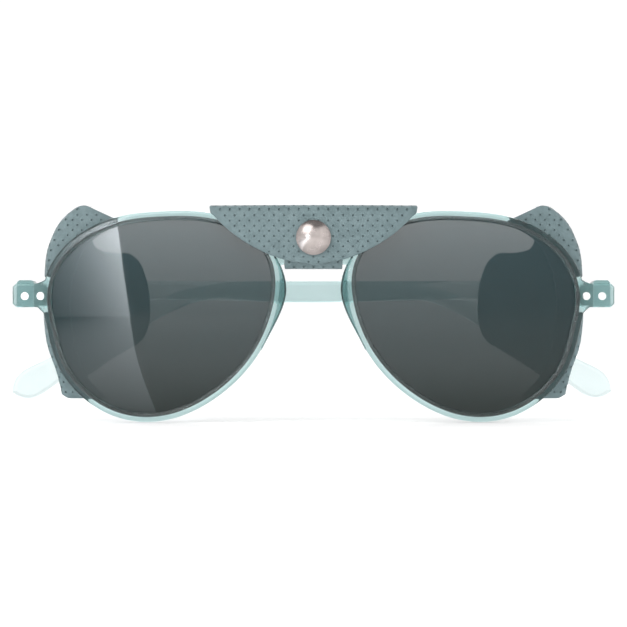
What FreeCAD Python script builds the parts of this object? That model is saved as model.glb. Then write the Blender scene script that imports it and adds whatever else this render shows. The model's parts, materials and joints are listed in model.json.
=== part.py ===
"""Glacier glasses, folded: a moulded front with two tinted lenses, riveted three-barrel hinges, two temples,
leather side shields and a leather nose cover that closes with a snap.

Millimetres. +X is the wearer's left, +Y points back towards the wearer, +Z is up. The origin is the nose saddle, midway
between the nose pads. The left temple folds first and lies nearest the lenses; the right temple folds over it.
"""

import FreeCAD
import Part
import math
import os

from FreeCAD import Vector

# ---- driving dimensions ----
FRONT_Y = -5.0             # front face of the bridge
FACE_RADIUS = 300.0        # sphere that the front follows
FACE_CENTRE_Z = -3.0
FRONT_THICKNESS = 3.8
RIM_WIDTH = 2.2
LENS_CENTRE = (36.1, -6.2)
LENS_RADII = (27.5, 28.2, 25.0, 23.3, 25.8, 28.4, 24.6, 21.8, 21.3, 23.1, 25.4, 26.7)   # every 30 degrees from +X
LENS_DEPTH = 1.0           # lens face behind the front face
LENS_THICKNESS = 1.8
GROOVE_DEPTH = 1.0
GROOVE_CLEARANCE = 0.05
EDGE_ROUND = 0.6

BRIDGE_TOP = 17.4
BRIDGE_UNDERSIDE = 7.2
PAD_BACK_Y = 3.8           # how far back the nose pads reach

LUG_END_X = 73.8
LUG_Z = (-4.04, 1.84)
STUB_X = (68.5, 72.7)
TEMPLE_Z = (-4.0, 2.6)     # temple and stub height at the hinge
BUTT_Y = 11.5              # rear face of the stub, where an open temple stops
RIVET_RADIUS = 1.0
RIVET_Z = -1.3
RIVET_X = (66.7, 70.65)
RIVET_HEAD = 0.15

HINGE_X = 67.3
HINGE_Z = -1.0
BARREL_RADIUS = 1.15
BARREL_HALF_HEIGHT = 2.4
MIDDLE_BARREL_HALF = 0.8
BARREL_GAP = 0.05
SCREW_RADIUS = 0.55
SCREW_CLEARANCE = 0.05
SCREW_HEAD = (1.0, 0.5)    # radius, height
LEAF_THICKNESS = 0.8
LEAF_BASE_X = (65.2, 68.4)

FACE_OFFSET = 1.2          # temple's inner face from the hinge axis
BUTT_GAP = 0.1
TEMPLE_THICKNESS = (4.2, 3.0, 2.6)      # at the hinge, along the arm, at the tip
TAPER_END = 28.0
BEND_AT = 98.5             # where the arm's two straight lines meet
BEND_DEGREES = 30.5
TIP_LENGTH = 50.0          # from that point to the end of the tip
STACK_TILT = 1.42          # degrees each folded temple leans, so that one clears the other
TEMPLE_ROUND = 0.9

LEATHER = 1.2
LEATHER_GAP = 0.15
CUP_DEPTH = 3.6            # how far the shield's lower part stands in from the temple
CUP_SLOPE = 26.0           # degrees the crease of that cup falls towards the hinge
LOOP_AT = (9.0, 16.0)      # leather loop round the temple, measured from the hinge

FLAP_TOP = 20.6            # top fold of the nose cover
FLAP_HALF = 25.1
TAB_HALF = 7.0
TAB_BOTTOM = 5.2
TAB_TOP = 16.6
SNAP_Z = 12.7
CAP_RADIUS = 4.2

# ---- the nose cover's layers, from the front face outwards ----
EYELET_THICKNESS = 0.35
STUD_FLANGE = 0.3
SNAP_ENGAGED = 0.8
SOCKET_THICKNESS = 0.7
TAB_BACK_Y = FRONT_Y - 0.1 - EYELET_THICKNESS
TAB_FRONT_Y = TAB_BACK_Y - LEATHER
FLAP_BACK_Y = TAB_FRONT_Y - STUD_FLANGE - SNAP_ENGAGED
FLAP_FRONT_Y = FLAP_BACK_Y - LEATHER
FLAP_AXIS_Y = (FLAP_BACK_Y + FLAP_FRONT_Y) / 2
FLAP_AXIS_Z = FLAP_TOP - LEATHER / 2
SNAP_BORE = 1.3
SOCKET_RADII = (3.2, 1.8)
STUD_RADIUS = 1.6

FAR = 60.0                 # long enough for any cutting prism
FACE_CENTRE = Vector(0, FRONT_Y + FACE_RADIUS, FACE_CENTRE_Z)
AXIS_Y = Vector(0, 1, 0)
AXIS_Z = Vector(0, 0, 1)


# ---- helpers ----
def at(x, z, y=0.0):
    return Vector(x, y, z)


def spline(points, closed=False):
    curve = Part.BSplineCurve()
    curve.interpolate(Points=[at(*p) for p in points], PeriodicFlag=closed)
    return curve


def prism(edges, y0=-FAR, y1=FAR):
    """The solid swept along Y by a closed outline in the XZ plane, from y0 to y1."""
    wire = Part.Wire(Part.__sortEdges__(edges))
    face = Part.Face(wire)
    face.translate(Vector(0, y0, 0))
    return face.extrude(Vector(0, y1 - y0, 0))


def polygon_prism(points, y0=-FAR, y1=FAR):
    return prism(Part.makePolygon([at(*p) for p in [*points, points[0]]]).Edges, y0, y1)


def box(x, y, z):
    return Part.makeBox(x[1] - x[0], y[1] - y[0], z[1] - z[0], Vector(x[0], y[0], z[0]))


def rod(radius, start, along, length):
    return Part.makeCylinder(radius, length, start, along)


def ball(depth):
    """Everything behind a surface that lies depth behind the front face."""
    return Part.makeSphere(FACE_RADIUS - depth, FACE_CENTRE)


def shell(depth, thickness):
    return ball(depth).cut(ball(depth + thickness))


def face_y(x, z, depth=0.0):
    radius = FACE_RADIUS - depth
    return FACE_CENTRE.y - math.sqrt(radius**2 - x**2 - (z - FACE_CENTRE_Z) ** 2)


def mirrored(shape):
    return shape.mirror(Vector(0, 0, 0), Vector(1, 0, 0))


def fused(shapes):
    return shapes[0].multiFuse(shapes[1:]).removeSplitter()


def rounded(shape, radius, wanted):
    """The shape with the wanted edges rounded, at the largest radius from the one asked down that works."""
    edges = [e for e in shape.Edges if wanted(e)]
    for share in (1.0, 0.7, 0.45):
        try:
            made = shape.makeFillet(radius * share, edges)
        except Exception:
            continue
        if made.isValid() and 0.8 * shape.Volume < made.Volume < 1.02 * shape.Volume:
            return made
    print("not rounded:", len(edges), "edges")
    return shape


def lens_curve(offset):
    """The lens opening's outline, moved outwards by offset."""
    cx, cz = LENS_CENTRE
    step = 2 * math.pi / len(LENS_RADII)
    base = spline([(cx + r * math.cos(n * step), cz + r * math.sin(n * step)) for n, r in enumerate(LENS_RADII)], True)
    if not offset:
        return base
    first, last = base.FirstParameter, base.LastParameter
    count = 3 * len(LENS_RADII)
    points = []
    for n in range(count):
        t = first + (last - first) * n / count
        tangent = base.tangent(t)[0]
        outward = Vector(tangent.z, 0, -tangent.x)
        p = base.value(t)
        if outward.dot(p - at(cx, cz)) < 0:
            outward = -outward
        p = p + outward * offset
        points.append((p.x, p.z))
    return spline(points, True)


def lens_prism(offset):
    return prism([lens_curve(offset).toShape()])


# ---- the front ----
def bridge_blank():
    top = spline([(-31, BRIDGE_TOP + 0.9), (-18, BRIDGE_TOP + 0.3), (0, BRIDGE_TOP), (18, BRIDGE_TOP + 0.3),
                  (31, BRIDGE_TOP + 0.9)])
    under = spline([(-13, -1.0), (-8.9, BRIDGE_UNDERSIDE - 1.6), (0, BRIDGE_UNDERSIDE), (8.9, BRIDGE_UNDERSIDE - 1.6),
                    (13, -1.0)])
    sides = [Part.LineSegment(at(s * 13, -1.0), at(s * 31, BRIDGE_TOP + 0.9)).toShape() for s in (-1, 1)]
    return prism([top.toShape(), under.toShape(), *sides])


def pad_blank():
    nose_side = spline([(9.4, 8.6), (8.2, 6.6), (6.6, 0.2), (8.6, -6.7), (12.6, -14.4)])
    rim_side = spline([(12.6, -14.4), (11.2, -6.0), (9.6, 0.5), (10.4, 6.0), (9.4, 8.6)])
    outline = [nose_side.toShape(), rim_side.toShape()]
    pad = prism(outline, -FAR, PAD_BACK_Y)
    return rounded(pad, 1.2, lambda e: e.BoundBox.YMin > PAD_BACK_Y - 0.01).common(ball(0.15))


def lug_blank():
    bottom, top = LUG_Z
    inner, outer, corner = 67.6, LUG_END_X, 0.9
    upper_flare = spline([(61.0, 9.5), (64.9, 3.2), (inner, top)])
    lower_flare = spline([(61.0, -14.0), (65.3, -6.2), (inner, bottom)])
    ring = [(inner, top), (outer - corner, top), (outer, top - corner), (outer, bottom + corner),
            (outer - corner, bottom), (inner, bottom)]
    lines = [Part.LineSegment(at(*a), at(*b)).toShape() for a, b in zip(ring, ring[1:])]
    back = Part.LineSegment(at(61.0, -14.0), at(61.0, 9.5)).toShape()
    return prism([upper_flare.toShape(), *lines, lower_flare.toShape(), back])


def leaf_base_y():
    """Rear face of the boss that carries the front's hinge leaf."""
    return face_y(LEAF_BASE_X[1], 0, FRONT_THICKNESS) + 0.3


def stub():
    """The block behind the lug that the temple butts against, and the boss that the hinge leaf is riveted to."""
    front_y = face_y(STUB_X[0], 0) + 1.5
    block = box(STUB_X, (front_y, BUTT_Y), TEMPLE_Z)
    block = rounded(block, 0.8, lambda e: abs(e.BoundBox.ZLength) < 0.01 and e.BoundBox.YLength > 2)
    boss = box((LEAF_BASE_X[0], STUB_X[0] + 0.5), (front_y, leaf_base_y()), (LUG_Z[0] + 0.3, LUG_Z[1] - 0.3))
    return block.fuse(boss)


def rounded_plate(outline, set_in=0.0):
    """A piece of the front: an outline cut from the front's shell, with its front and rear edges rounded."""
    plate = outline.common(shell(set_in, FRONT_THICKNESS - 2 * set_in))

    def is_face_edge(edge):
        middle = edge.valueAt((edge.FirstParameter + edge.LastParameter) / 2)
        depth = FACE_RADIUS - (middle - FACE_CENTRE).Length
        return min(abs(depth - set_in), abs(depth - FRONT_THICKNESS + set_in)) < 0.02

    return rounded(plate, EDGE_ROUND, is_face_edge)


def rim():
    ring = rounded_plate(lens_prism(RIM_WIDTH).cut(lens_prism(0)))
    depth = shell(LENS_DEPTH - GROOVE_CLEARANCE, LENS_THICKNESS + 2 * GROOVE_CLEARANCE)
    return ring.cut(lens_prism(GROOVE_DEPTH).common(depth))


def front_frame():
    """The rims with the bridge and lugs blended in, each set in a little so that its rounded edges end cleanly."""
    clear = lens_prism(0.5 * (RIM_WIDTH + GROOVE_DEPTH))
    side = [rim(), rounded_plate(lug_blank(), 0.08).cut(clear), pad_blank().cut(clear), stub()]
    body = rounded_plate(bridge_blank(), 0.05).cut(clear).cut(mirrored(clear))
    for piece in side:
        body = body.fuse(piece).fuse(mirrored(piece))
    for cut in rivet_shanks():
        body = body.cut(cut).cut(mirrored(cut))
    return body


def rivet_shanks():
    inner_end = leaf_base_y() + LEAF_THICKNESS
    ends = (inner_end, BUTT_Y - 2.5)
    return [rod(RIVET_RADIUS, at(x, RIVET_Z, face_y(x, RIVET_Z) - RIVET_HEAD), AXIS_Y,
                end - face_y(x, RIVET_Z) + RIVET_HEAD) for x, end in zip(RIVET_X, ends)]


def front_rivets():
    return Part.makeCompound([rounded(r, 0.12, lambda e: e.BoundBox.YMax < face_y(RIVET_X[1], 0) - 0.01)
                              for r in rivet_shanks()])


def lens():
    blank = lens_prism(GROOVE_DEPTH - GROOVE_CLEARANCE)
    return blank.common(shell(LENS_DEPTH, LENS_THICKNESS))


# ---- the hinge ----
def barrel(z0, z1, bore):
    start = Vector(HINGE_X, BUTT_Y, z0)
    return rod(BARREL_RADIUS, start, AXIS_Z, z1 - z0).cut(rod(bore, start, AXIS_Z, z1 - z0))


def hinge_front_leaf():
    low, high = HINGE_Z - BARREL_HALF_HEIGHT, HINGE_Z + BARREL_HALF_HEIGHT
    inner = MIDDLE_BARREL_HALF + BARREL_GAP
    back_y = leaf_base_y() + LEAF_THICKNESS
    plate = box(LEAF_BASE_X, (leaf_base_y(), back_y), (low - 0.2, high))
    fingers = []
    for z0, z1 in ((low, HINGE_Z - inner), (HINGE_Z + inner, high)):
        web = box((HINGE_X - 0.7, HINGE_X + 0.7), (back_y - 0.1, BUTT_Y - BARREL_RADIUS + 0.4), (z0, z1))
        fingers += [web, barrel(z0, z1, SCREW_RADIUS)]
    leaf = fused([plate, *fingers])
    return leaf.cut(rod(RIVET_RADIUS, at(RIVET_X[0], RIVET_Z, 0), AXIS_Y, FAR))


def hinge_screw():
    low, high = HINGE_Z - BARREL_HALF_HEIGHT, HINGE_Z + BARREL_HALF_HEIGHT
    radius, height = SCREW_HEAD
    shank = rod(SCREW_RADIUS, Vector(HINGE_X, BUTT_Y, low), AXIS_Z, high - low)
    head = rod(radius, Vector(HINGE_X, BUTT_Y, high), AXIS_Z, height)
    slot = box((HINGE_X - 2, HINGE_X + 2), (BUTT_Y - 0.12, BUTT_Y + 0.12), (high + height - 0.22, high + height + 1))
    return shank.fuse(head).removeSplitter().cut(slot)


def temple_face_y():
    """The folded temple's inner face, before it leans."""
    return BUTT_Y + FACE_OFFSET


def hinge_temple_leaf():
    y0 = temple_face_y()
    z0, z1 = HINGE_Z - MIDDLE_BARREL_HALF, HINGE_Z + MIDDLE_BARREL_HALF
    plate = box((HINGE_X - 11, HINGE_X - 1.5), (y0, y0 + LEAF_THICKNESS), (HINGE_Z - 1.9, HINGE_Z + 1.9))
    finger = box((HINGE_X - 2.4, HINGE_X - 0.8), (BUTT_Y - 0.3, y0 + LEAF_THICKNESS), (z0, z1))
    leaf = fused([plate, finger, barrel(z0, z1, SCREW_RADIUS + SCREW_CLEARANCE)])
    for rivet in temple_rivet_shanks():
        leaf = leaf.cut(rivet)
    return leaf


def temple_rivet_shanks():
    """Two rivets through the temple, a little proud of its outer face."""
    y0 = temple_face_y()
    length = TEMPLE_THICKNESS[0] + RIVET_HEAD
    return [rod(RIVET_RADIUS, at(HINGE_X - back, RIVET_Z, y0), AXIS_Y, length) for back in (4.0, 8.0)]


# ---- the temple, folded and not yet leaning ----
def temple_side_outline():
    """The temple seen square on: straight, bent down behind the ear, with a round paddle tip."""
    slope = math.radians(BEND_DEGREES)
    down = (math.cos(slope), -math.sin(slope))
    square = (math.sin(slope), math.cos(slope))

    def arm(s, half):
        return HINGE_X - s, half

    def tip(s, half):
        along = s - BEND_AT
        return HINGE_X - BEND_AT - along * down[0] - half * square[0], along * down[1] + half * square[1]

    end = BEND_AT + TIP_LENGTH
    paddle = 3.5
    top = [arm(BUTT_GAP, TEMPLE_Z[1]), arm(40, 2.5), arm(84, 2.45)]
    top_bend = [arm(84, 2.45), arm(92.5, 1.75), tip(108, 2.45), tip(122, 2.75), tip(end - 9, paddle - 0.1),
                tip(end - paddle, paddle - 0.2), tip(end, 0.3)]
    low_bend = [tip(end, 0.3), tip(end - 3.2, -paddle + 0.1), tip(end - 9, -paddle), tip(122, -2.9), tip(108, -2.35),
                arm(96, -2.65), arm(86, -2.25)]
    low = [arm(86, -2.25), arm(40, -2.2), arm(TAPER_END, -2.3), arm(13, -3.6), arm(BUTT_GAP, TEMPLE_Z[0])]
    butt = Part.LineSegment(at(*low[-1]), at(*top[0])).toShape()
    return [spline(p).toShape() for p in (top, top_bend, low_bend, low)] + [butt]


def temple_blank():
    y0 = temple_face_y()
    side = prism(temple_side_outline(), y0, y0 + TEMPLE_THICKNESS[0])
    thick, thin, last = TEMPLE_THICKNESS
    end = HINGE_X - BEND_AT - TIP_LENGTH - 5
    plan = [(HINGE_X, y0), (HINGE_X, y0 + thick), (HINGE_X - 12, y0 + thick), (HINGE_X - TAPER_END, y0 + thin),
            (HINGE_X - BEND_AT, y0 + thin), (end, y0 + last), (end, y0)]
    wire = Part.makePolygon([Vector(x, y, -FAR) for x, y in [*plan, plan[0]]])
    return side.common(Part.Face(wire).extrude(Vector(0, 0, 2 * FAR)))


def temple():
    y0 = temple_face_y()
    blank = temple_blank()

    def long_edge(edge):
        box_ = edge.BoundBox
        return edge.Length > 2 and box_.XMax < HINGE_X - BUTT_GAP + 0.01 and box_.ZLength < 40 and not (
            box_.XLength < 0.01) and not (box_.ZLength > 2 and box_.XLength < 0.5)

    body = rounded(blank, TEMPLE_ROUND, long_edge)
    pocket = box((HINGE_X - 11, HINGE_X), (y0 - 1, y0 + LEAF_THICKNESS), (HINGE_Z - 1.9, HINGE_Z + 1.9))
    body = body.cut(pocket)
    for rivet in temple_rivet_shanks():
        body = body.cut(rivet)
    return body


def temple_rivets():
    return Part.makeCompound(temple_rivet_shanks())


# ---- the leather side shield: a strip behind the rim, a turned edge and a flap along the temple ----
SHIELD_EDGE = ((57.2, 20.9), (60.5, 18.4), (64.6, 11.75), (65.9, 3.0), (66.1, -5.4), (65.1, -13.3), (62.9, -19.5),
               (61.2, -26.4))
STRIP_INNER = ((50.4, -26.4), (55.6, -21.1), (58.6, -13.0), (59.6, -5.0), (59.0, 3.0), (55.4, 11.4), (47.0, 16.9))
FLAP_EDGE = ((57.2, 20.9), (56.6, 14.5), (53.5, 10.4), (44.3, 9.15), (41.4, 3.5), (40.4, -6.5), (43.6, -12.4),
             (56.2, -21.1), (61.2, -26.4))


def hinge_relief():
    """Room in the shield for the hinge."""
    return box((64.7, 80), (-FAR, FAR), (-5.2, 3.4))


def strip():
    edges = [spline(SHIELD_EDGE).toShape(), spline(STRIP_INNER).toShape(),
             Part.LineSegment(at(*SHIELD_EDGE[-1]), at(*STRIP_INNER[0])).toShape(),
             Part.LineSegment(at(*STRIP_INNER[-1]), at(*SHIELD_EDGE[0])).toShape()]
    sheet = prism(edges).common(shell(FRONT_THICKNESS + LEATHER_GAP, LEATHER))
    return sheet.cut(hinge_relief())


def flap_front_y():
    return temple_face_y() - LEATHER_GAP - LEATHER


def behind_flap(shift):
    """Everything behind the flap's front surface, moved back by shift: flat on the temple, then stepped in below."""
    slope = math.radians(CUP_SLOPE)
    along = Vector(-math.cos(slope), 0, math.sin(slope))
    across = Vector(math.sin(slope), 0, math.cos(slope))
    corner = Vector(51.0, flap_front_y() + shift, -3.4)
    ramp = 4.4
    profile = [(FAR, 0.0), (0.0, 0.0), (-ramp, -CUP_DEPTH), (-FAR, -CUP_DEPTH), (-FAR, FAR), (FAR, FAR)]
    points = [corner + across * v + AXIS_Y * y - along * FAR for v, y in profile]
    return Part.Face(Part.makePolygon([*points, points[0]])).extrude(along * 2 * FAR)


def flap_outline():
    return [spline(FLAP_EDGE).toShape(), spline(SHIELD_EDGE).toShape()]


def flap():
    inset = 1.6
    sheet = prism(flap_outline()).common(behind_flap(0)).cut(behind_flap(LEATHER))
    trimmed = sheet.common(prism([spline([(x - inset, z) for x, z in SHIELD_EDGE]).toShape(),
                                  *box_edges_left()]))
    return fused([trimmed.cut(hinge_relief()), *loop()])


def box_edges_left():
    """Closes an outline whose right side is the shield's outer edge, far to the left."""
    inset = 1.6
    first, last = SHIELD_EDGE[0], SHIELD_EDGE[-1]
    a, b = at(first[0] - inset, first[1]), at(last[0] - inset, last[1])
    c, d = at(0, first[1]), at(0, last[1])
    return [Part.LineSegment(a, c).toShape(), Part.LineSegment(c, d).toShape(), Part.LineSegment(d, b).toShape()]


def loop():
    """The band between two slits that the temple passes through."""
    x = (HINGE_X - LOOP_AT[1], HINGE_X - LOOP_AT[0])
    front, back = flap_front_y() + 0.2, temple_face_y() + TEMPLE_THICKNESS[0] + RIVET_HEAD + 0.1
    low, high = TEMPLE_Z[0] - 0.15, TEMPLE_Z[1] + 0.15
    outer = box(x, (front, back + LEATHER), (low - LEATHER, high + LEATHER))
    return [outer.cut(box((x[0] - 1, x[1] + 1), (temple_face_y() - LEATHER_GAP, back), (low, high)))]


def turned_edge():
    """The leather's edge between strip and flap, as a wall that follows the shield's outline."""
    band = [spline(SHIELD_EDGE).toShape(), spline([(x - LEATHER, z) for x, z in SHIELD_EDGE]).toShape()]
    ends = [Part.LineSegment(at(*p), at(p[0] - LEATHER, p[1])).toShape() for p in (SHIELD_EDGE[0], SHIELD_EDGE[-1])]
    wall = prism(band + ends).common(ball(FRONT_THICKNESS + LEATHER_GAP + LEATHER + 0.02))
    return wall.cut(behind_flap(0)).cut(hinge_relief())


# ---- the leather nose cover ----
def half_moon():
    low = [(-25.0, 19.3), (-23.2, 17.1), (-15.5, 11.1), (-8.6, 7.85), (0, 6.1), (8.6, 7.85), (15.5, 11.1), (23.2, 17.1),
           (25.0, 19.3)]
    top = FLAP_AXIS_Z
    edges = [spline(low).toShape(), Part.LineSegment(at(25.0, 19.3), at(FLAP_HALF, top)).toShape(),
             Part.LineSegment(at(FLAP_HALF, top), at(-FLAP_HALF, top)).toShape(),
             Part.LineSegment(at(-FLAP_HALF, top), at(-25.0, 19.3)).toShape()]
    return edges


def nose_cover_flap():
    plate = prism(half_moon(), FLAP_FRONT_Y, FLAP_BACK_Y)
    roll = rod(LEATHER / 2, Vector(-FLAP_HALF, FLAP_AXIS_Y, FLAP_AXIS_Z), Vector(1, 0, 0), 2 * FLAP_HALF)
    bore = rod(SNAP_BORE, at(0, SNAP_Z, -FAR), AXIS_Y, 2 * FAR)
    return plate.fuse(roll).removeSplitter().cut(bore)


def nose_cover_top():
    """The leather over the top of the bridge, from behind the flap's roll to the back panel."""
    front = FLAP_AXIS_Y + LEATHER / 2 + 0.1
    back = face_y(0, FLAP_TOP, FRONT_THICKNESS + LEATHER_GAP)
    top = box((-FLAP_HALF, FLAP_HALF), (front, back + 0.4), (FLAP_TOP - LEATHER, FLAP_TOP))
    return top.common(Part.makeBox(2 * FAR, 2 * FAR, 2 * FAR, Vector(-FAR, -FAR, -FAR))).cut(back_panel_space())


def back_panel_space():
    return shell(FRONT_THICKNESS + LEATHER_GAP, LEATHER)


def nose_cover_back():
    low = [(-21.0, FLAP_TOP), (-17.5, 14.6), (-12.5, 10.6), (-TAB_HALF, 8.6), (-TAB_HALF, TAB_BOTTOM),
           (TAB_HALF, TAB_BOTTOM), (TAB_HALF, 8.6), (12.5, 10.6), (17.5, 14.6), (21.0, FLAP_TOP)]
    return polygon_prism(low).common(back_panel_space())


def tab_back_y():
    return face_y(0, TAB_BOTTOM, FRONT_THICKNESS + LEATHER_GAP) - 0.1


def nose_cover_tab():
    """The strap from the back panel, under the bridge and up behind the flap."""
    x = (-TAB_HALF, TAB_HALF)
    upright = box(x, (TAB_FRONT_Y, TAB_BACK_Y), (TAB_BOTTOM, TAB_TOP))
    under = box(x, (TAB_FRONT_Y, tab_back_y()), (TAB_BOTTOM, TAB_BOTTOM + LEATHER))
    strap = upright.fuse(under).removeSplitter()
    return strap.cut(rod(SNAP_BORE, at(0, SNAP_Z, -FAR), AXIS_Y, 2 * FAR))


def snap_cap():
    height, rim = 1.9, 0.5
    sphere_radius = (CAP_RADIUS**2 + height**2) / (2 * height)
    dome = Part.makeSphere(sphere_radius, at(0, SNAP_Z, FLAP_FRONT_Y - rim - height + sphere_radius))
    dome = dome.common(rod(CAP_RADIUS, at(0, SNAP_Z, FLAP_FRONT_Y - rim - height), AXIS_Y, height))
    base = rod(CAP_RADIUS, at(0, SNAP_Z, FLAP_FRONT_Y - rim), AXIS_Y, rim)
    shank = rod(SNAP_BORE - 0.05, at(0, SNAP_Z, FLAP_FRONT_Y), AXIS_Y, LEATHER)
    return fused([dome, base, shank])


def snap_socket():
    outer, inner = SOCKET_RADII
    ring = rod(outer, at(0, SNAP_Z, FLAP_BACK_Y), AXIS_Y, SOCKET_THICKNESS)
    return ring.cut(rod(inner, at(0, SNAP_Z, FLAP_BACK_Y), AXIS_Y, SOCKET_THICKNESS))


def snap_stud():
    flange = rod(SOCKET_RADII[0] - 0.3, at(0, SNAP_Z, TAB_FRONT_Y - STUD_FLANGE), AXIS_Y, STUD_FLANGE)
    head = rod(STUD_RADIUS, at(0, SNAP_Z, TAB_FRONT_Y - STUD_FLANGE - SNAP_ENGAGED + 0.1), AXIS_Y, SNAP_ENGAGED)
    head = rounded(head, 0.25, lambda e: e.BoundBox.YMax < TAB_FRONT_Y - STUD_FLANGE - 0.3)
    return fused([flange, head])


def snap_post():
    flange = rod(SOCKET_RADII[0] - 0.4, at(0, SNAP_Z, TAB_BACK_Y), AXIS_Y, EYELET_THICKNESS)
    shank = rod(SNAP_BORE - 0.05, at(0, SNAP_Z, TAB_FRONT_Y), AXIS_Y, LEATHER)
    return fused([flange, shank])


# ---- assembly ----
def leaning(shape, side):
    """A temple's part at rest. side is 1 for the left temple, which leans towards the lenses, and -1 for the right."""
    shape = shape.copy()
    shape.rotate(Vector(HINGE_X, BUTT_Y, 0), AXIS_Z, side * STACK_TILT)
    return shape if side > 0 else mirrored(shape)


def save(name, shape):
    solids = shape.Solids
    if not solids or not all(s.isValid() and s.Volume > 0 for s in solids):
        raise ValueError(f"{name} isn't made of sound solids")
    shape = solids[0] if len(solids) == 1 else Part.makeCompound(solids)
    shape.exportStep(f"parts/{name}.step")
    print(f"{name}: {len(solids)} solid, {shape.Volume:.1f} mm3")


def main():
    os.makedirs("parts", exist_ok=True)
    save("front_frame", front_frame())
    fixed = {"lens": lens(), "front_rivets": front_rivets(), "hinge_front_leaf": hinge_front_leaf(),
             "hinge_screw": hinge_screw(), "shield_strip": strip(), "shield_turned_edge": turned_edge()}
    for name, shape in fixed.items():
        save(name + "_left", shape)
        save(name + "_right", mirrored(shape))
    moving = {"temple": temple(), "hinge_temple_leaf": hinge_temple_leaf(), "temple_rivets": temple_rivets(),
              "shield_flap": flap()}
    for name, shape in moving.items():
        save(name + "_left", leaning(shape, 1))
        save(name + "_right", leaning(shape, -1))
    for name, shape in {"nose_cover_flap": nose_cover_flap(), "nose_cover_top": nose_cover_top(),
                        "nose_cover_back": nose_cover_back(), "nose_cover_tab": nose_cover_tab(),
                        "snap_cap": snap_cap(), "snap_socket": snap_socket(), "snap_stud": snap_stud(),
                        "snap_post": snap_post()}.items():
        save(name, shape)


main()
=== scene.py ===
"""Glacier glasses: materials, perforated leather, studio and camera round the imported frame.

Lengths inside the leather functions are millimetres, as in the part's own frame, and become metres in add_mesh.
"""
import json
import math

import bpy
import numpy as np
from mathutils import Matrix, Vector, geometry


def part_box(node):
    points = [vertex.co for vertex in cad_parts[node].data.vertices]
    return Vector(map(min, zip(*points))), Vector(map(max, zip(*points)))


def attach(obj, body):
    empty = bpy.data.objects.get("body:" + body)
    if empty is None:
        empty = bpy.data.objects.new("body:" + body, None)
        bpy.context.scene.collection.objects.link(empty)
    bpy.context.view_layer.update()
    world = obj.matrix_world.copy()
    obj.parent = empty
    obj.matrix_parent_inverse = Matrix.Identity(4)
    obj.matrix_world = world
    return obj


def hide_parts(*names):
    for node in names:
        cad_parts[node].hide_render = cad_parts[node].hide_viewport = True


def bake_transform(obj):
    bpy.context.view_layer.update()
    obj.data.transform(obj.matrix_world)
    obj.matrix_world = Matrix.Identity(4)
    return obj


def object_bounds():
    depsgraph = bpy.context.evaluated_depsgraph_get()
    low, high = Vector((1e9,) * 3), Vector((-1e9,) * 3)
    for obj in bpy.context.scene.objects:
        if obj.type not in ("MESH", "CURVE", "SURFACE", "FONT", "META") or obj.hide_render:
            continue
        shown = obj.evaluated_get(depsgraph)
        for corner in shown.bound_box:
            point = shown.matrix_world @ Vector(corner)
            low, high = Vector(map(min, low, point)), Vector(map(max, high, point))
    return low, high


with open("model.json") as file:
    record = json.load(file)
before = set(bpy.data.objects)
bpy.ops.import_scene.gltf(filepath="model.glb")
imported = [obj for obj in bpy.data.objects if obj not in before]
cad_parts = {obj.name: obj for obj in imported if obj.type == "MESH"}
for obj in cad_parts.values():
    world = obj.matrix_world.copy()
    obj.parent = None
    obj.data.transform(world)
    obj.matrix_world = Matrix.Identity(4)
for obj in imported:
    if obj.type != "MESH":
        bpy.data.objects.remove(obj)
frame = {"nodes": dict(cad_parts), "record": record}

cad_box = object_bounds()
MM = 0.001


def low(node):
    return [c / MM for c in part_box(node)[0]]


def high(node):
    return [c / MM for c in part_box(node)[1]]


# ---- driving dimensions, mm ----
FRONT_Y = -5.0
FACE_RADIUS = 300.0
FACE_CENTRE_Z = -3.0
FRONT_THICKNESS = 3.8
LEATHER = 1.2
LEATHER_GAP = 0.15
LEAF_GAP = 0.03                  # air between a hinge leaf and the plastic
STRIP_DEPTH = FRONT_THICKNESS + LEATHER_GAP + LEATHER / 2

HOLE_RADIUS = 0.235
HOLE_SIDES = 8
HOLE_PITCH = (2.36, 1.24)        # across, and from row to row
HOLE_CLEARANCE = 0.22            # from a hole's rim to the leather's edge
LINER = 0.5                      # left at the bottom of the holes of both faces
EDGE_ROUND = 0.22

JOINTS = {j["name"]: j for j in frame["record"]["behaviour"]["joints"]}
HINGE_X = abs(JOINTS["temple_left_hinge"]["pos_m"][0]) / MM
HINGE_Y = JOINTS["temple_left_hinge"]["pos_m"][1] / MM
TEMPLE_FACE_Y = HINGE_Y + 1.2
FLAP_Y = TEMPLE_FACE_Y - LEATHER_GAP - LEATHER / 2
STACK_TILT = math.radians(1.42)


# ---- materials ----
def shader(name):
    """A new material, its Principled node, a helper that adds nodes and one that links them."""
    material = bpy.data.materials.new(name)
    material.use_nodes = True
    tree = material.node_tree

    def node(kind, **settings):
        made = tree.nodes.new(kind)
        for key, value in settings.items():
            if hasattr(made, key):
                setattr(made, key, value)
            else:
                made.inputs[key.replace("_", " ")].default_value = value
        return made

    return material, tree.nodes["Principled BSDF"], node, tree.links.new


def set_inputs(bsdf, **values):
    for key, value in values.items():
        bsdf.inputs[key.replace("_", " ")].default_value = value


def mottled(node, link, scale, detail, stops):
    """Object-space noise through a colour ramp."""
    place = node("ShaderNodeTexCoord")
    noise = node("ShaderNodeTexNoise", Scale=scale, Detail=detail, Roughness=0.6)
    ramp = node("ShaderNodeValToRGB")
    link(place.outputs["Object"], noise.inputs["Vector"])
    link(noise.outputs["Fac"], ramp.inputs["Fac"])
    elements = ramp.color_ramp.elements
    elements[0].position, elements[0].color = stops[0][0], (*stops[0][1], 1)
    elements[1].position, elements[1].color = stops[-1][0], (*stops[-1][1], 1)
    for position, colour in stops[1:-1]:
        elements.new(position).color = (*colour, 1)
    return place, ramp


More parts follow.
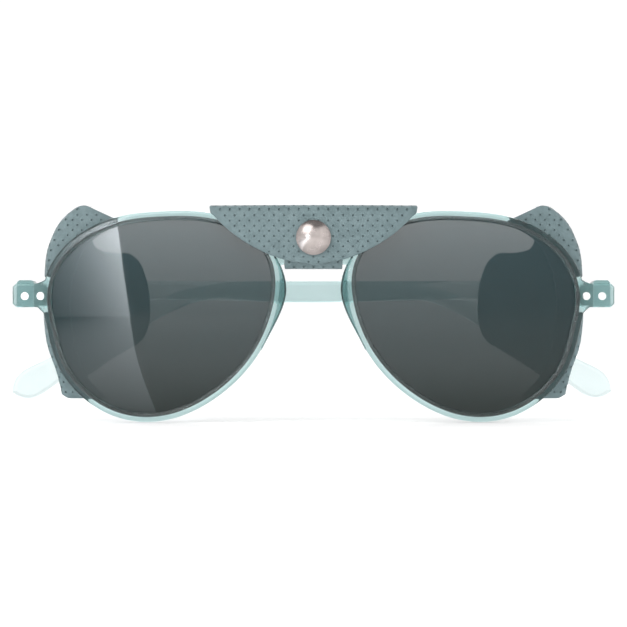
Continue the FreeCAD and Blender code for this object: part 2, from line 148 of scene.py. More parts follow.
def add_bump(node, link, bsdf, place, scale, strength, distance, detail=4.0):
    noise = node("ShaderNodeTexNoise", Scale=scale, Detail=detail, Roughness=0.55)
    bump = node("ShaderNodeBump", Strength=strength, Distance=distance)
    link(place.outputs["Object"], noise.inputs["Vector"])
    link(noise.outputs["Fac"], bump.inputs["Height"])
    link(bump.outputs["Normal"], bsdf.inputs["Normal"])
    return noise


def turned_away(node, link, place, side_on, face_on):
    """1 where the surface faces sideways, up or down, falling to 0 where it faces the front or the rear."""
    split = node("ShaderNodeSeparateXYZ")
    facing = node("ShaderNodeMath", operation="ABSOLUTE")
    edge = node("ShaderNodeMapRange", From_Min=side_on, From_Max=face_on, To_Min=1, To_Max=0)
    link(place.outputs["Normal"], split.inputs["Vector"])
    link(split.outputs["Y"], facing.inputs[0])
    link(facing.outputs["Value"], edge.inputs["Value"])
    return edge.outputs["Result"]


def mixed(node, link, factor, colour, other):
    """A linked colour, giving way to a fixed one where the factor is 1."""
    blend = node("ShaderNodeMix", data_type="RGBA")
    link(factor, blend.inputs["Factor"])
    link(colour, blend.inputs["A"])
    blend.inputs["B"].default_value = (*other, 1)
    return blend.outputs["Result"]


def leather_material():
    material, bsdf, node, link = shader("perforated_leather")
    place, ramp = mottled(node, link, 420, 6, [(0.3, (0.128, 0.186, 0.196)), (0.5, (0.156, 0.222, 0.234)),
                                               (0.72, (0.188, 0.259, 0.272))])
    link(ramp.outputs["Color"], bsdf.inputs["Base Color"])
    grain = add_bump(node, link, bsdf, place, 2600, 0.35, 0.00012)
    rough = node("ShaderNodeMapRange", From_Min=0.3, From_Max=0.7, To_Min=0.5, To_Max=0.68)
    link(grain.outputs["Fac"], rough.inputs["Value"])
    link(rough.outputs["Result"], bsdf.inputs["Roughness"])
    set_inputs(bsdf, Specular_IOR_Level=0.4, Sheen_Weight=0.12, Sheen_Roughness=0.5)
    return material


def plastic_material(name, scale, rough, density):
    """Satin see-through plastic whose tint deepens with its thickness (density is per metre)."""
    material, bsdf, node, link = shader(name)
    place, ramp = mottled(node, link, scale, 3, [(0.3, (0.93, 0.965, 0.965)), (0.7, (0.96, 0.98, 0.98))])
    link(ramp.outputs["Color"], bsdf.inputs["Base Color"])
    grain = add_bump(node, link, bsdf, place, 300, 0.02, 0.00005, 2)
    spread = node("ShaderNodeMapRange", From_Min=0.3, From_Max=0.7, To_Min=rough - 0.03, To_Max=rough + 0.03)
    link(grain.outputs["Fac"], spread.inputs["Value"])
    link(spread.outputs["Result"], bsdf.inputs["Roughness"])
    set_inputs(bsdf, Transmission_Weight=1.0, IOR=1.45)
    tint = node("ShaderNodeVolumeAbsorption", Color=(0.30, 0.55, 0.55, 1), Density=density)
    out = next(n for n in material.node_tree.nodes if n.type == "OUTPUT_MATERIAL")
    link(tint.outputs["Volume"], out.inputs["Volume"])
    return material


def lens_material():
    """Smoke tint, deeper towards the bottom, with painted shade at the edge, where it turns near black and
    solid, and a hard gloss.
    """
    material, bsdf, node, link = shader("smoke_lens")
    bottom, top = low("lens_left")[2] * MM, high("lens_left")[2] * MM
    place = node("ShaderNodeTexCoord")
    split = node("ShaderNodeSeparateXYZ")
    noise = node("ShaderNodeTexNoise", Scale=30, Detail=2)
    height = node("ShaderNodeMapRange", From_Min=bottom, From_Max=top, To_Min=0, To_Max=1)
    tint = node("ShaderNodeValToRGB")
    clear = node("ShaderNodeMapRange", From_Min=0, From_Max=1, To_Min=0.94, To_Max=0.60)
    gloss = node("ShaderNodeMapRange", From_Min=0, From_Max=1, To_Min=0.015, To_Max=0.03)
    link(place.outputs["Object"], split.inputs["Vector"])
    link(split.outputs["Z"], height.inputs["Value"])
    link(height.outputs["Result"], tint.inputs["Fac"])
    link(height.outputs["Result"], clear.inputs["Value"])
    link(place.outputs["Object"], noise.inputs["Vector"])
    link(noise.outputs["Fac"], gloss.inputs["Value"])
    tint.color_ramp.elements[0].color = (0.006, 0.014, 0.011, 1)
    tint.color_ramp.elements[1].color = (0.022, 0.056, 0.066, 1)
    # Painted shade: where the surface turns to the side the lens is made near black and solid, for the dark gap
    # inside the rim.
    painted_edge_shade = turned_away(node, link, place, 0.5, 0.8)
    solid = node("ShaderNodeMath", operation="MAXIMUM")
    link(painted_edge_shade, solid.inputs[0])
    link(clear.outputs["Result"], solid.inputs[1])
    link(mixed(node, link, painted_edge_shade, tint.outputs["Color"], (0.01, 0.012, 0.012)), bsdf.inputs["Base Color"])
    link(solid.outputs["Value"], bsdf.inputs["Alpha"])
    link(gloss.outputs["Result"], bsdf.inputs["Roughness"])
    set_inputs(bsdf, IOR=1.5, Specular_IOR_Level=0.42, Coat_Weight=0.05, Coat_Roughness=0.02)
    return material


def metal_material(name, dark, light, rough, scale=900, painted_shade_edge=None):
    """Satin metal, with an optional painted shade: a darker colour where the surface turns to the side."""
    material, bsdf, node, link = shader(name)
    place, ramp = mottled(node, link, scale, 5, [(0.35, dark), (0.65, light)])
    colour = ramp.outputs["Color"]
    if painted_shade_edge:
        # Painted shade: the colour darkens towards the given one where the surface turns to the side.
        colour = mixed(node, link, turned_away(node, link, place, 0.3, 0.93), colour, painted_shade_edge)
    link(colour, bsdf.inputs["Base Color"])
    grain = add_bump(node, link, bsdf, place, scale * 2, 0.05, 0.00004)
    spread = node("ShaderNodeMapRange", From_Min=0.3, From_Max=0.7, To_Min=rough - 0.05, To_Max=rough + 0.05)
    link(grain.outputs["Fac"], spread.inputs["Value"])
    link(spread.outputs["Result"], bsdf.inputs["Roughness"])
    set_inputs(bsdf, Metallic=1.0)
    return material


LEATHER_LOOK = leather_material()
FINISHES = {
    "front_plastic": plastic_material("front_plastic", 60, 0.13, 290),
    "temple_plastic": plastic_material("temple_plastic", 50, 0.22, 135),
    "smoke_lens": lens_material(),
    "leather": LEATHER_LOOK,
    "rivet_metal": metal_material("rivet_metal", (0.86, 0.86, 0.86), (0.96, 0.96, 0.96), 0.4),
    "hinge_steel": metal_material("hinge_steel", (0.7, 0.7, 0.69), (0.82, 0.82, 0.81), 0.32),
    # The snap cap's last colour is painted shade, a dark ring on its rim standing for the shadow round the cap.
    "snap_metal": metal_material("snap_metal", (0.46, 0.41, 0.39), (0.55, 0.49, 0.47), 0.24, 400,
                                 (0.12, 0.10, 0.10)),
}


def dress_cad():
    slots = {s["node"]: s["material_slot"] for s in frame["record"]["subparts"]}
    for name, obj in frame["nodes"].items():
        obj.data.materials.clear()
        obj.data.materials.append(FINISHES[slots[name]])


def seat_metal():
    """Stands the hinge leaves a hair off the plastic, so that light can pass between them."""
    for side in ("left", "right"):
        leaves = ((f"hinge_front_leaf_{side}", "front"), (f"hinge_temple_leaf_{side}", f"{side}_temple"))
        for node, body in leaves:
            mesh = frame["nodes"][node].data.copy()
            place = np.array([v.co for v in mesh.vertices])
            middle = (place.max(0) + place.min(0)) / 2
            reach = (place.max(0) - place.min(0)) / 2
            place = middle + (place - middle) * (1 - LEAF_GAP * MM / reach)
            mesh.vertices.foreach_set("co", place.ravel())
            piece = bpy.data.objects.new(f"seated_{node}", mesh)
            bpy.context.scene.collection.objects.link(piece)
            piece.matrix_world = frame["nodes"][node].matrix_world
            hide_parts(node)
            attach(piece, body)


# ---- curves and surfaces ----
def smooth(knots):
    """A function through (at, value) knots with a continuous slope."""
    at, value = np.array(sorted(knots), float).T
    slope = np.gradient(value, at)

    def f(x):
        x = np.clip(np.asarray(x, float), at[0], at[-1])
        n = np.clip(np.searchsorted(at, x) - 1, 0, len(at) - 2)
        h = at[n + 1] - at[n]
        t = (x - at[n]) / h
        return ((1 + 2 * t) * (1 - t) ** 2 * value[n] + t * (1 - t) ** 2 * h * slope[n]
                + t * t * (3 - 2 * t) * value[n + 1] + t * t * (t - 1) * h * slope[n + 1])

    return f


def flowing(points, step=0.8):
    """Points every step or so along a smooth curve through those given."""
    p = np.array(points, float)
    run = np.concatenate([[0], np.cumsum(np.linalg.norm(np.diff(p, axis=0), axis=1))])
    along = np.linspace(0, run[-1], max(int(run[-1] / step), 2) + 1)
    return np.stack([smooth(list(zip(run, p[:, i])))(along) for i in (0, 1)], 1)


def straight(a, b, step=0.8):
    a, b = np.array(a, float), np.array(b, float)
    count = max(int(np.linalg.norm(b - a) / step), 1)
    return a + (b - a) * np.linspace(0, 1, count + 1)[:, None]


def pinked(points, pitch, depth):
    """A cut edge with a small tooth every pitch."""
    p = flowing(points, pitch / 2)
    along = np.gradient(p, axis=0)
    along /= np.linalg.norm(along, axis=1)[:, None]
    side = np.stack([-along[:, 1], along[:, 0]], 1)
    tooth = depth * (np.arange(len(p)) % 2)
    return p + side * tooth[:, None]


def joined(*runs):
    """One closed outline from runs that follow on, without the repeated corners."""
    p = np.concatenate([np.asarray(r, float) for r in runs])
    keep = np.linalg.norm(p - np.roll(p, 1, axis=0), axis=1) > 0.05
    return p[keep]


def face_y(x, z, depth):
    radius = FACE_RADIUS - depth
    return FRONT_Y + FACE_RADIUS - np.sqrt(radius**2 - x**2 - (z - FACE_CENTRE_Z) ** 2)


def inside(points, outline):
    """Which points lie inside a closed outline."""
    a, b = outline, np.roll(outline, -1, axis=0)
    x, y = points[:, :1], points[:, 1:]
    crosses = (a[:, 1] > y) != (b[:, 1] > y)
    rise = np.where(b[:, 1] == a[:, 1], 1e-9, b[:, 1] - a[:, 1])
    return (crosses & (x < a[:, 0] + (y - a[:, 1]) / rise * (b[:, 0] - a[:, 0]))).sum(1) % 2 == 1


def from_edge(points, outline):
    """Each point's distance from an outline."""
    a = outline[None]
    d = np.roll(outline, -1, axis=0)[None] - a
    p = points[:, None]
    t = np.clip(((p - a) * d).sum(2) / np.maximum((d * d).sum(2), 1e-12), 0, 1)
    return np.linalg.norm(p - a - d * t[..., None], axis=2).min(1)


def lattice(x_range, y_range, centre=(0.0, 0.0)):
    """Staggered rows of hole centres, symmetrical about centre."""
    across, rows = HOLE_PITCH
    found = []
    first, last = (math.floor((v - centre[1]) / rows) for v in y_range)
    for row in range(first, last + 2):
        shift = across / 2 if row % 2 else 0.0
        start, stop = (math.floor((v - centre[0]) / across) for v in x_range)
        found += [(centre[0] + shift + n * across, centre[1] + row * rows) for n in range(start - 1, stop + 2)]
    return np.array(found)


def clear_holes(centres, outlines):
    """The holes that lie wholly in the leather."""
    keep = inside(centres, outlines[0]) & (from_edge(centres, outlines[0]) > HOLE_RADIUS + HOLE_CLEARANCE)
    for cutout in outlines[1:]:
        keep &= ~inside(centres, cutout) & (from_edge(centres, cutout) > HOLE_RADIUS + HOLE_CLEARANCE)
    return centres[keep]


def rings(centres, spread=lambda centre, offset: offset):
    """A ring of points round each hole. spread turns a true offset into one in the flat pattern."""
    turns = np.arange(HOLE_SIDES) * 2 * math.pi / HOLE_SIDES
    circle = HOLE_RADIUS * np.stack([np.cos(turns), np.sin(turns)], 1)
    return [c + np.array([spread(c, o) for o in circle]) for c in centres]


def punched(outlines, holes):
    """Triangulates a flat pattern. Returns its points, its triangles and each hole's point numbers."""
    loops = [*outlines, *holes]
    points = np.concatenate(loops)
    owner = np.concatenate([np.full(len(loop), n) for n, loop in enumerate(loops)])
    starts = np.cumsum([0, *(len(loop) for loop in loops)])
    edges = [(s + i, s + (i + 1) % len(loop)) for s, loop in zip(starts, loops) for i in range(len(loop))]
    _, _, faces, origins, _, _ = geometry.delaunay_2d_cdt([Vector(p) for p in points], edges, [], 0, 1e-7)
    first = [o[0] for o in origins]
    tris = np.array([[first[v] for v in f] for f in faces])
    middle = points[tris].mean(1)
    own = owner[tris]
    in_hole = (own == own[:, :1]).all(1) & (own[:, 0] >= len(outlines))
    keep = inside(middle, outlines[0]) & ~in_hole
    for cutout in outlines[1:]:
        keep &= ~inside(middle, cutout)
    tris = tris[keep]
    a, b, c = points[tris[:, 0]], points[tris[:, 1]], points[tris[:, 2]]
    turn = (b - a)[:, 0] * (c - a)[:, 1] - (b - a)[:, 1] * (c - a)[:, 0]
    tris[turn < 0] = tris[turn < 0][:, ::-1]
    tris = tris[np.abs(turn) > 1e-9]
    return points, tris, [np.arange(starts[n], starts[n + 1]) for n in range(len(outlines), len(loops))]


def thickened(points, tris, hole_rings):
    """A closed leather solid about a mid-surface: rounded edges, and a pit from each face at every hole."""
    count, half = len(points), LEATHER / 2
    normal = np.zeros_like(points)
    face_normal = np.cross(points[tris[:, 1]] - points[tris[:, 0]], points[tris[:, 2]] - points[tris[:, 0]])
    for corner in range(3):
        np.add.at(normal, tris[:, corner], face_normal)
    normal /= np.maximum(np.linalg.norm(normal, axis=1), 1e-12)[:, None]

    used = {}
    for tri in tris.tolist():
        for i in range(3):
            used[(tri[i], tri[(i + 1) % 3])] = True
    border = [(a, b) for a, b in used if (b, a) not in used]
    in_ring = np.zeros(count, bool)
    for ring in hole_rings:
        in_ring[ring] = True
    wall = [(a, b) for a, b in border if not (in_ring[a] and in_ring[b])]

    outward = np.zeros_like(points)
    for a, b in wall:
        side = np.cross(points[b] - points[a], normal[a])
        outward[a] += side
        outward[b] += side
    size = np.linalg.norm(outward, axis=1)
    outward[size > 0] /= size[size > 0][:, None]

    layers = [(half, -EDGE_ROUND), (half - EDGE_ROUND, 0.0), (EDGE_ROUND - half, 0.0), (-half, -EDGE_ROUND)]
    verts = [points + normal * layers[0][0] + outward * layers[0][1],
             points + normal * layers[3][0] + outward * layers[3][1]]
    faces = [tuple(t) for t in tris.tolist()] + [tuple(t) for t in (tris[:, ::-1] + count).tolist()]
    total = 2 * count

    edge_points = sorted({v for e in wall for v in e})
    place = {v: n for n, v in enumerate(edge_points)}
    number = len(edge_points)
    for rise, out in layers[1:3]:
        verts.append(points[edge_points] + normal[edge_points] * rise + outward[edge_points] * out)
    upper, lower = total, total + number
    total += 2 * number
    for a, b in wall:
        chain = [(a, b), (upper + place[a], upper + place[b]), (lower + place[a], lower + place[b]),
                 (count + a, count + b)]
        faces += [(p[1], p[0], q[0], q[1]) for p, q in zip(chain, chain[1:])]

    for ring in hole_rings:
        ring = list(ring)
        if (ring[0], ring[1]) in used:
            ring.reverse()
        sides = len(ring)
        for sign, offset in ((1, 0), (-1, count)):
            floor = points[ring] + normal[ring] * sign * LINER / 2
            verts.append(floor)
            for i in range(sides):
                j = (i + 1) % sides
                quad = (offset + ring[i], offset + ring[j], total + j, total + i)
                faces.append(quad if sign < 0 else quad[::-1])
            bottom = tuple(range(total, total + sides))
            faces.append(bottom if sign < 0 else bottom[::-1])
            total += sides
    return np.concatenate(verts), faces


def add_mesh(name, verts, faces, material):
    mesh = bpy.data.meshes.new(name)
    mesh.from_pydata((np.asarray(verts) * MM).tolist(), [], faces)
    mesh.validate()
    mesh.update()
    mesh.polygons.foreach_set("use_smooth", [True] * len(mesh.polygons))
    mesh.set_sharp_from_angle(angle=math.radians(50))
    mesh.materials.append(material)
    obj = bpy.data.objects.new(name, mesh)
    bpy.context.scene.collection.objects.link(obj)
    return obj


def leather_piece(name, outlines, centres, place, spread=lambda centre, offset: offset):
    """Cuts, punches and bends a leather piece. place takes flat points to the row frame."""
    pattern, tris, hole_rings = punched(outlines, rings(clear_holes(centres, outlines), spread))
    verts, faces = thickened(place(pattern), tris, hole_rings)
    return add_mesh(name, verts, faces, LEATHER_LOOK)


# ---- side shields ----
SHIELD_TOP, SHIELD_BOTTOM = 20.9, -26.4
EDGE = smooth([(SHIELD_TOP, 57.2), (18.4, 60.5), (11.75, 64.6), (3.0, 65.9), (-5.4, 66.1), (-13.3, 65.1),
               (-19.5, 62.9), (SHIELD_BOTTOM, 61.2)])
STRIP_INNER = [(50.4, SHIELD_BOTTOM), (55.6, -21.1), (58.6, -13.0), (59.6, -5.0), (59.0, 3.0), (55.4, 11.4),
               (47.0, 16.9)]
FLAP_EDGE = [(55.2, SHIELD_TOP), (55.0, 15.0), (54.0, 10.8), (50.0, 9.5), (45.4, 9.2), (43.3, 7.4), (41.6, 3.5),
             (40.6, -2.0), (40.6, -8.0), (42.0, -11.6), (44.0, -13.6)]
FLAP_HEM = [(44.0, -13.6), (50.0, -17.2), (56.2, -21.6)]
HEM_TOOTH = (1.35, 0.5)         # pitch and depth
FOLD_INSET = 1.6                # strip and flap end this far inside the fold's outermost line
FOLD_WIDTH = 6.0                # leather taken up by the fold
HINGE_CUTOUT = (-5.2, 3.4)      # heights between which the fold is cut away for the hinge
CUP_DEPTH = 3.6
CUP_SLOPE = math.radians(26.0)
CUP_CREASE = (51.0, -3.4)       # a point of the crease
CUP_RAMP = (1.5, -6.5)          # across the crease, where the cup starts and where it is full
LOOP_AT = (16.0, 9.0)           # the loop's two edges, measured from the hinge
LOOP_HEIGHTS = (-4.15, 2.75)    # of the loop's inner face, under and over the temple
LOOP_CORNER = 1.5
TEMPLE_THICKNESS = 4.2          # at the loop
LOOP_GAP = 0.25                 # behind the temple


def fold_x(z):
    return EDGE(z) - FOLD_INSET


def flap_surface(x, z):
    """Flat against the temple above, stepping in towards the lens below."""
    across = (x - CUP_CREASE[0]) * math.sin(CUP_SLOPE) + (z - CUP_CREASE[1]) * math.cos(CUP_SLOPE)
    t = np.clip((CUP_RAMP[0] - across) / (CUP_RAMP[0] - CUP_RAMP[1]), 0, 1)
    return FLAP_Y - CUP_DEPTH * t * t * (3 - 2 * t)


def lean(x, y, side):
    """Turns a folded temple's points about the hinge, as the temple leans."""
    turn = side * STACK_TILT
    dx, dy = x - HINGE_X, y - HINGE_Y
    return (HINGE_X + dx * math.cos(turn) - dy * math.sin(turn),
            HINGE_Y + dx * math.sin(turn) + dy * math.cos(turn))


def shield_place(side):
    def place(flat):
        q, z = flat[:, 0], flat[:, 1]
        root = fold_x(z)
        strip_x = root + np.minimum(q, 0)
        strip_y = face_y(strip_x, z, STRIP_DEPTH)
        flap_x0 = root - np.maximum(q - FOLD_WIDTH, 0)
        flap_x, flap_y = lean(flap_x0, flap_surface(flap_x0, z), side)
        t = np.clip(q / FOLD_WIDTH, 0, 1)
        reach = FOLD_INSET / 0.75
        weights = ((1 - t) ** 3, 3 * t * (1 - t) ** 2, 3 * t * t * (1 - t), t**3)
        x = (weights[0] * strip_x + weights[1] * (strip_x + reach)
             + weights[2] * (flap_x + reach) + weights[3] * flap_x)
        y = (weights[0] + weights[1]) * strip_y + (weights[2] + weights[3]) * flap_y
        return np.stack([side * x, y, z], 1)

    return place


def on_strip(points):
    points = np.asarray(points, float)
    return np.stack([points[:, 0] - fold_x(points[:, 1]), points[:, 1]], 1)


def on_flap(points):
    points = np.asarray(points, float)
    return np.stack([FOLD_WIDTH + fold_x(points[:, 1]) - points[:, 0], points[:, 1]], 1)


def over_fold(z, inwards, rounding=0.9):
    """The cut end of the fold, dipping where the leather turns so that its corner is round."""
    q = np.linspace(0, FOLD_WIDTH, 13)
    return np.stack([q, z + inwards * rounding * np.sin(math.pi * q / FOLD_WIDTH) ** 2], 1)


def shield(side, name):
    top, bottom = SHIELD_TOP, SHIELD_BOTTOM
    outline = joined(
        on_strip(flowing(STRIP_INNER)),
        on_strip(straight(STRIP_INNER[-1], (fold_x(top), top))),
        over_fold(top, -1),
        on_flap(straight((fold_x(top), top), FLAP_EDGE[0])),
        on_flap(flowing(FLAP_EDGE)),
        on_flap(pinked(FLAP_HEM, *HEM_TOOTH)),
        on_flap(straight(FLAP_HEM[-1], (fold_x(bottom), bottom))),
        over_fold(bottom, 1)[::-1],
        on_strip(straight((fold_x(bottom), bottom), STRIP_INNER[0])),
    )
    near, far = -0.4, FOLD_WIDTH + 0.6
    z0, z1 = HINGE_CUTOUT
    cutout = joined(straight((near, z0), (far, z0)), straight((far, z0), (far, z1)),
                    straight((far, z1), (near, z1)), straight((near, z1), (near, z0)))
    holes = lattice((40, 66), (bottom, top))
    strip_holes, flap_holes = on_strip(holes), on_flap(holes)
    margin = HOLE_PITCH[0] / 4
    strip_holes = strip_holes[strip_holes[:, 0] < -margin]
    flap_holes = flap_holes[flap_holes[:, 0] > FOLD_WIDTH + margin]
    fold_holes = lattice((0, FOLD_WIDTH), (bottom, top), (FOLD_WIDTH / 2, 0))
    fold_holes = fold_holes[(fold_holes[:, 0] > 0) & (fold_holes[:, 0] < FOLD_WIDTH)]

    def spread(centre, offset):
        slope = (fold_x(centre[1] + 0.1) - fold_x(centre[1] - 0.1)) / 0.2
        if centre[0] <= 0:
            return offset[0] - slope * offset[1], offset[1]
        if centre[0] >= FOLD_WIDTH:
            return slope * offset[1] - offset[0], offset[1]
        return offset

    centres = np.concatenate([strip_holes, fold_holes, flap_holes])
    piece = leather_piece(f"shield_leather_{name}", [outline, cutout], centres, shield_place(side), spread)
    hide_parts(f"shield_strip_{name}", f"shield_turned_edge_{name}", f"shield_flap_{name}")
    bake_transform(piece)
    shield_loop(side, name)


def shield_loop(side, name):
    """The leather band that goes round the temple, in at one slit of the flap and out at the other."""
    x0, x1 = HINGE_X - LOOP_AT[0], HINGE_X - LOOP_AT[1]
    front = FLAP_Y
    back = TEMPLE_FACE_Y + TEMPLE_THICKNESS + LOOP_GAP + LEATHER / 2
    bottom, top = LOOP_HEIGHTS[0] - LEATHER / 2, LOOP_HEIGHTS[1] + LEATHER / 2
    corner = LOOP_CORNER
    arc = corner * math.pi / 2
    deep, tall = back - corner - front, top - bottom - 2 * corner
    length = 2 * deep + 2 * arc + tall

    def place(flat):
        s = flat[:, 1]
        y, z = np.empty_like(s), np.empty_like(s)
        stretches = [(deep, "top"), (arc, "upper"), (tall, "back"), (arc, "lower"), (deep, "bottom")]
        start = 0.0
        for size, kind in stretches:
            here = (s >= start - 1e-9) & (s <= start + size + 1e-9)
            t = s[here] - start
            turn = t / corner
            if kind == "top":
                y[here], z[here] = front + t, top
            elif kind == "upper":
                y[here], z[here] = back - corner + corner * np.sin(turn), top - corner + corner * np.cos(turn)
            elif kind == "back":
                y[here], z[here] = back, top - corner - t
            elif kind == "lower":
                y[here] = back - corner + corner * np.cos(turn)
                z[here] = bottom + corner - corner * np.sin(turn)
            else:
                y[here], z[here] = back - corner - t, bottom
            start += size
        x, y = lean(flat[:, 0], y, side)
        return np.stack([side * x, y, z], 1)

    outline = joined(straight((x0, 0), (x1, 0), 0.5), straight((x1, 0), (x1, length), 0.5),
                     straight((x1, length), (x0, length), 0.5), straight((x0, length), (x0, 0), 0.5))
    centres = lattice((x0, x1), (0, length), ((x0 + x1) / 2, length / 2))
    piece = leather_piece(f"shield_loop_{name}", [outline], centres, place)
    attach(piece, f"{name}_temple")


# ---- nose cover ----
COVER_HALF = 25.1
COVER_TOP = high("nose_cover_flap")[2] - LEATHER / 2
COVER_FRONT_Y = low("nose_cover_flap")[1] + LEATHER / 2
COVER_SWEEP = 0.0044            # how fast the cover's front curves back to the rims
FRONT_BEND, BACK_BEND = 1.5, 1.6
HALF_MOON = [(0, 6.1), (8.6, 7.85), (15.5, 11.1), (20.6, 14.7), (23.6, 17.6)]
BACK_PANEL = [(21.4, 17.0), (17.5, 13.2), (12.5, 10.4), (7.4, 8.75)]
BACK_CORNER = (22.6, 18.2)      # where the cover's end meets the panel behind the bridge
STEM_Z = 8.6                    # where that panel runs on into the strap
STRAP_HALF = 7.0
STRAP_BEND = 1.5


def cover_place(flat):
    x, s = flat[:, 0], flat[:, 1]
    front = COVER_FRONT_Y + COVER_SWEEP * x * x
    front_arc, back_arc = FRONT_BEND * math.pi / 2, BACK_BEND * math.pi / 2
    back = face_y(x, COVER_TOP - BACK_BEND, STRIP_DEPTH)
    level = back - BACK_BEND - front - FRONT_BEND
    t_front, t_back = np.clip(s / FRONT_BEND, 0, math.pi / 2), np.clip((-s - level) / BACK_BEND, 0, math.pi / 2)
    y_front = front + FRONT_BEND * (1 - np.sin(t_front)) + np.clip(-s, 0, level)
    z_front = COVER_TOP - FRONT_BEND * (1 - np.cos(t_front)) - np.maximum(s - front_arc, 0)
    z_back = COVER_TOP - BACK_BEND * (1 - np.cos(t_back)) - np.maximum(-s - level - back_arc, 0)
    y_back = np.where(z_back < COVER_TOP - BACK_BEND, face_y(x, z_back, STRIP_DEPTH),
                      back - BACK_BEND * (1 - np.sin(t_back)))
    behind = -s > level
    return np.stack([x, np.where(behind, y_back, y_front), np.where(behind, z_back, z_front)], 1)


def front_run(z):
    """How far along the leather a height on the cover's front lies from the top of its fold."""
    return FRONT_BEND * math.pi / 2 + COVER_TOP - FRONT_BEND - z


def back_run(x, z):
    level = (face_y(x, COVER_TOP - BACK_BEND, STRIP_DEPTH) - BACK_BEND - FRONT_BEND - COVER_FRONT_Y
             - COVER_SWEEP * x * x)
    return -level - BACK_BEND * math.pi / 2 - (COVER_TOP - BACK_BEND - z)


def mirrored_run(points):
    return np.asarray(points)[::-1] * [-1, 1]


def nose_cover():
    lower = flowing([(x, front_run(z)) for x, z in HALF_MOON])
    corner = flowing([tuple(lower[-1]), (24.75, front_run(18.75)), (COVER_HALF, 0.9), (COVER_HALF, -0.4)], 0.4)
    back_corner = (BACK_CORNER[0], back_run(*BACK_CORNER))
    side = straight((COVER_HALF, -0.4), back_corner)
    back = flowing([back_corner, *((x, back_run(x, z)) for x, z in BACK_PANEL)])
    stem_run = back_run(STRAP_HALF, STEM_Z)
    stem = straight((STRAP_HALF, stem_run), (-STRAP_HALF, stem_run))
    right = np.concatenate([lower, corner, side, back])
    outline = joined(right, stem, mirrored_run(right))[::-1]
    centres = lattice((-26, 26), (back_run(0, 6), front_run(6)), (0, 0.35))
    piece = leather_piece("nose_cover_leather", [outline], centres, cover_place)
    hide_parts("nose_cover_flap", "nose_cover_top", "nose_cover_back")
    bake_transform(piece)


def nose_tab():
    """The strap from the panel behind the bridge, under the bridge and up behind the flap."""
    half = STRAP_HALF
    front = low("snap_post")[1] + LEATHER / 2
    bottom, top = low("nose_cover_tab")[2] + LEATHER / 2, high("nose_cover_tab")[2]
    back = float(face_y(0, STEM_Z, STRIP_DEPTH))
    bend = STRAP_BEND
    arc = bend * math.pi / 2
    rise, level = 8.55 - bottom - bend, back - front - 2 * bend
    length = rise + 2 * arc + level + top - bottom - bend

    def place(flat):
        x, s = flat[:, 0], flat[:, 1]
        a = np.clip((s - rise) / bend, 0, math.pi / 2)
        b = np.clip((s - rise - arc - level) / bend, 0, math.pi / 2)
        run = np.clip(s - rise - arc, 0, level)
        y = back - bend * (1 - np.cos(a)) - run - bend * np.sin(b)
        z = bottom + bend - bend * np.sin(a) + bend * (1 - np.cos(b))
        z = z + np.maximum(rise - s, 0) + np.maximum(s - rise - 2 * arc - level, 0)
        return np.stack([x, y, z], 1)

    round_end = [(half, length - 2.5), (half - 0.8, length - 0.8), (half - 2.5, length)]
    end = flowing(round_end, 0.4)
    outline = joined(straight((-half, 0), (half, 0)), straight((half, 0), (half, length - 2.5)), end,
                     straight((half - 2.5, length), (2.5 - half, length)), mirrored_run(end),
                     straight((-half, length - 2.5), (-half, 0)))
    centres = lattice((-half, half), (0, length), (0, rise + arc / 2))
    piece = leather_piece("nose_cover_strap", [outline], centres, place)
    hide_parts("nose_cover_tab")
    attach(piece, "front")


# ---- studio ----
def area_light(name, place, aim, size, power):
    light = bpy.data.lights.new(name, "AREA")
    light.shape = "RECTANGLE"
    light.size, light.size_y = size
    light.energy = power
    obj = bpy.data.objects.new(name, light)
    obj.location = place
    obj.rotation_euler = (Vector(aim) - Vector(place)).to_track_quat("-Z", "Y").to_euler()
    obj.visible_camera = False
    bpy.context.scene.collection.objects.link(obj)


def floor():
    """A pale floor that sweeps up into a backdrop on all sides."""
    ground = cad_box[0][2] - 0.0002
    profile = [(0.0, 0.0), (1.6, 0.0), (2.0, 0.06), (2.3, 0.3), (2.45, 0.8), (2.5, 3.0)]
    count = 64
    verts = [(0.0, 0.0, ground)]
    for radius, rise in profile[1:]:
        for n in range(count):
            turn = 2 * math.pi * n / count
            verts.append((radius * math.cos(turn), radius * math.sin(turn), ground + rise))
    faces = [(0, 1 + n, 1 + (n + 1) % count) for n in range(count)]
    for ring in range(len(profile) - 2):
        a, b = 1 + ring * count, 1 + (ring + 1) * count
        faces += [(a + n, b + n, b + (n + 1) % count, a + (n + 1) % count) for n in range(count)]
    material, bsdf, node, link = shader("pale_floor")
    _, ramp = mottled(node, link, 3, 2, [(0.3, (0.93, 0.93, 0.93)), (0.7, (0.95, 0.95, 0.95))])
    link(ramp.outputs["Color"], bsdf.inputs["Base Color"])
    set_inputs(bsdf, Roughness=0.9, Emission_Color=(1, 1, 1, 1), Emission_Strength=0.27)
    obj = add_mesh("studio_floor", np.array(verts) / MM, faces, material)


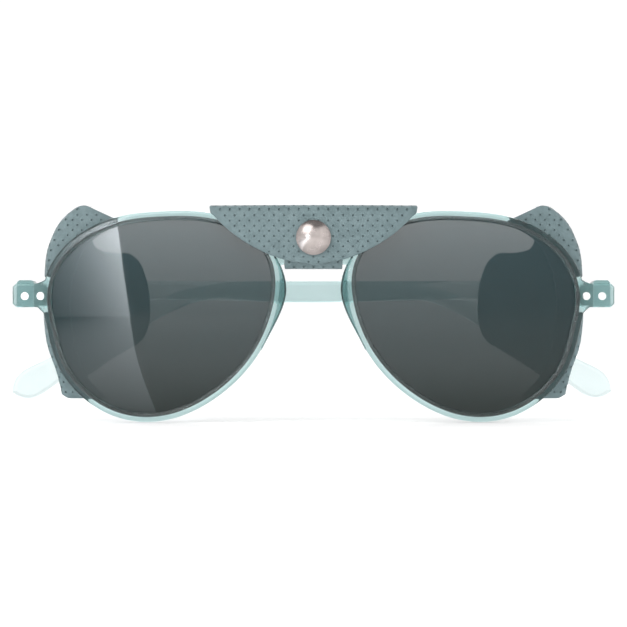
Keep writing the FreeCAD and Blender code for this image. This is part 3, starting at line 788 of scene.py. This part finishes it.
def bright_card(name, corners, level, growth, power):
    """A card that only reflections see, with a glow of level * e^(place . growth) * |y|^power."""
    material = bpy.data.materials.new(name)
    material.use_nodes = True
    tree = material.node_tree
    tree.nodes.clear()
    place = tree.nodes.new("ShaderNodeTexCoord")
    split = tree.nodes.new("ShaderNodeSeparateXYZ")
    along = tree.nodes.new("ShaderNodeVectorMath")
    along.operation = "DOT_PRODUCT"
    along.inputs[1].default_value = growth
    glow = tree.nodes.new("ShaderNodeEmission")
    glow.inputs["Color"].default_value = (0.9, 0.96, 1.0, 1)
    out = tree.nodes.new("ShaderNodeOutputMaterial")

    def math_node(operation, a, b=1.0):
        made = tree.nodes.new("ShaderNodeMath")
        made.operation = operation
        for socket, value in zip(made.inputs, (a, b)):
            if isinstance(value, float):
                socket.default_value = value
            else:
                tree.links.new(value, socket)
        return made.outputs["Value"]

    tree.links.new(place.outputs["Object"], along.inputs[0])
    tree.links.new(place.outputs["Object"], split.inputs["Vector"])
    rise = math_node("EXPONENT", along.outputs["Value"])
    fall = math_node("POWER", math_node("ABSOLUTE", split.outputs["Y"]), power)
    strength = math_node("MULTIPLY", math_node("MULTIPLY", rise, fall), level)
    tree.links.new(strength, glow.inputs["Strength"])
    tree.links.new(glow.outputs["Emission"], out.inputs["Surface"])
    obj = add_mesh(name, np.array(corners) / MM, [tuple(range(len(corners)))], material)
    obj.visible_camera = obj.visible_diffuse = obj.visible_transmission = obj.visible_shadow = False


def cards():
    """A standing card and its foot on the floor, to the wearer's right, make the slanted patch in that lens."""
    level = cad_box[0][2] + 0.001
    bright_card("standing_card", [(-0.481, -1.01, 0.25), (-0.441, -1.03, level), (-0.75, -0.9, level),
                                  (-0.75, -0.9, 0.25)], 900.0, (10, 0, 5.6), 0.0)
    bright_card("foot_card", [(-0.441, -1.03, level), (-0.378, -0.865, level), (-0.179, -0.355, level),
                              (-0.113, -0.185, level), (-0.066, -0.068, level), (-0.025, 0.03, level),
                              (-0.2, -0.05, level), (-0.75, -0.9, level)], 13.0, (12, -4.7, 0), 0.3)


def studio():
    world = bpy.data.worlds.new("studio")
    world.use_nodes = True
    world.node_tree.nodes["Background"].inputs["Color"].default_value = (1, 1, 1, 1)
    world.node_tree.nodes["Background"].inputs["Strength"].default_value = 0.34
    bpy.context.scene.world = world
    bpy.context.scene.view_settings.view_transform = "Standard"
    area_light("key_light", (-0.6, -0.7, 0.9), (0, 0, 0), (0.9, 0.9), 6)
    area_light("fill_light", (0.9, -0.5, 0.5), (0, 0, 0), (0.9, 0.9), 0.6)
    area_light("rear_light", (0.0, 0.9, 0.8), (0, 0, 0), (1.2, 0.6), 3.2)
    floor()
    cards()


def camera():
    """Straight on, level, with the whole front's width in a square frame."""
    distance, width, aim_z = 0.65, 0.1515, -0.00556
    data = bpy.data.cameras.new("camera")
    data.sensor_width = 36.0
    data.lens = data.sensor_width * distance / width
    data.clip_start = 0.05
    obj = bpy.data.objects.new("camera", data)
    obj.location = (0.0, FRONT_Y * MM - distance, aim_z)
    obj.rotation_euler = (math.pi / 2, 0, 0)
    bpy.context.scene.collection.objects.link(obj)
    bpy.context.scene.camera = obj


dress_cad()
seat_metal()
shield(1, "left")
shield(-1, "right")
nose_cover()
nose_tab()
studio()
camera()
